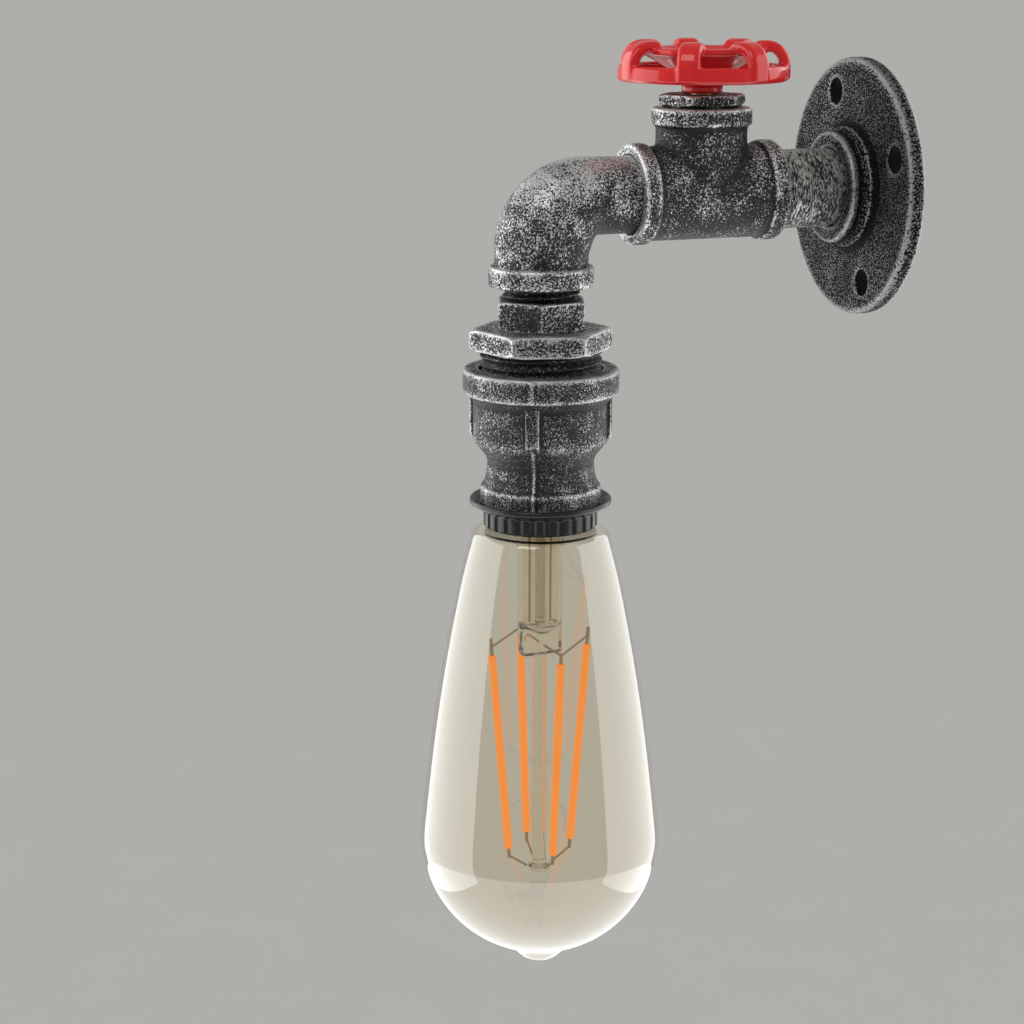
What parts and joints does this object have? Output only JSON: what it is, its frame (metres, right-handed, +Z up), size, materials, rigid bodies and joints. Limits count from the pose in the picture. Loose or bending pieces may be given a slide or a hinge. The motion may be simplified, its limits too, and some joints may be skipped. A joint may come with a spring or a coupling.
{
  "type": "pipe wall light",
  "caption": "Wall light made of banded iron pipe fittings: round wall flange, tee with a red valve-wheel switch, elbow, reducing socket and a hanging tinted filament bulb.",
  "frame": {"origin": "middle of the wall flange's back face, which is the middle of its circle of screw holes", "axes": "+Y into the wall, +Z up, so the arm runs out along -Y and the bulb hangs along -Z"},
  "size_m": [0.07, 0.128, 0.2559],
  "materials": {
    "flange_iron": "black, rubbed silver on the edges",
    "pipe_iron": "brushed dark grey",
    "cast_iron": "black with rubbed silver speckle",
    "black_plastic": "satin black",
    "brass": "plain",
    "brown_wire": "soft sleeve",
    "blue_wire": "soft sleeve",
    "zinc": "zinc plated",
    "porcelain": "glazed off-white",
    "red_enamel": "gloss red",
    "bright_steel": "bright",
    "board": "lacquered board",
    "amber_glass": "clear amber tint",
    "clear_glass": "clear",
    "filament": "orange silicone coat"
  },
  "bodies": {
    "fixture": {"wall_flange": "flange_iron", "arm_nipple": "pipe_iron", "pipe_tee": "cast_iron", "gland_nut": "cast_iron", "street_elbow": "cast_iron", "hex_nipple": "cast_iron", "reducing_bush": "cast_iron", "reducing_socket": "cast_iron", "shade_ring": "black_plastic", "switch_housing": "black_plastic", "switch_contacts": "brass", "live_feed_wire": "brown_wire", "live_lamp_wire": "brown_wire", "neutral_wire": "blue_wire", "holder_tube": "zinc", "holder_locknut": "zinc", "holder_washer": "zinc", "holder_dome": "black_plastic", "holder_insert": "porcelain", "holder_sleeve": "black_plastic", "screw_shell": "brass", "centre_contact": "brass", "terminal_screws": "brass"},
    "wheel": {"valve_stem": "brass", "handwheel": "red_enamel", "wheel_screw": "bright_steel", "switch_rotor": "porcelain"},
    "bulb_carrier": {"cap_contact": "brass"},
    "bulb": {"screw_cap": "zinc", "cap_insulator": "black_plastic", "led_driver": "board", "bulb_glass": "amber_glass", "glass_stem": "clear_glass", "exhaust_tube": "clear_glass", "support_rod": "clear_glass", "led_filaments": "filament", "filament_pins": "brass", "lead_wires": "brass", "foot_wires": "brass"}
  },
  "joints": [
    {"name": "wheel_turn", "type": "hinge", "parent": "fixture", "child": "wheel", "pos_m": [0, -0.049, 0.03], "axis": [0, 0, 1], "continuous": true},
    {"name": "bulb_travel", "type": "slide", "parent": "fixture", "child": "bulb_carrier", "axis": [0, 0, -1], "range_m": [0, 0.00846]},
    {"name": "bulb_turn", "type": "hinge", "parent": "bulb_carrier", "child": "bulb", "pos_m": [0, -0.0945, -0.08], "axis": [0, 0, -1], "range_deg": [0, 1080]}
  ],
  "couplings": [
    {"joint": "bulb_travel", "follows": "bulb_turn", "m_per_rad": 0.00044881}
  ]
}
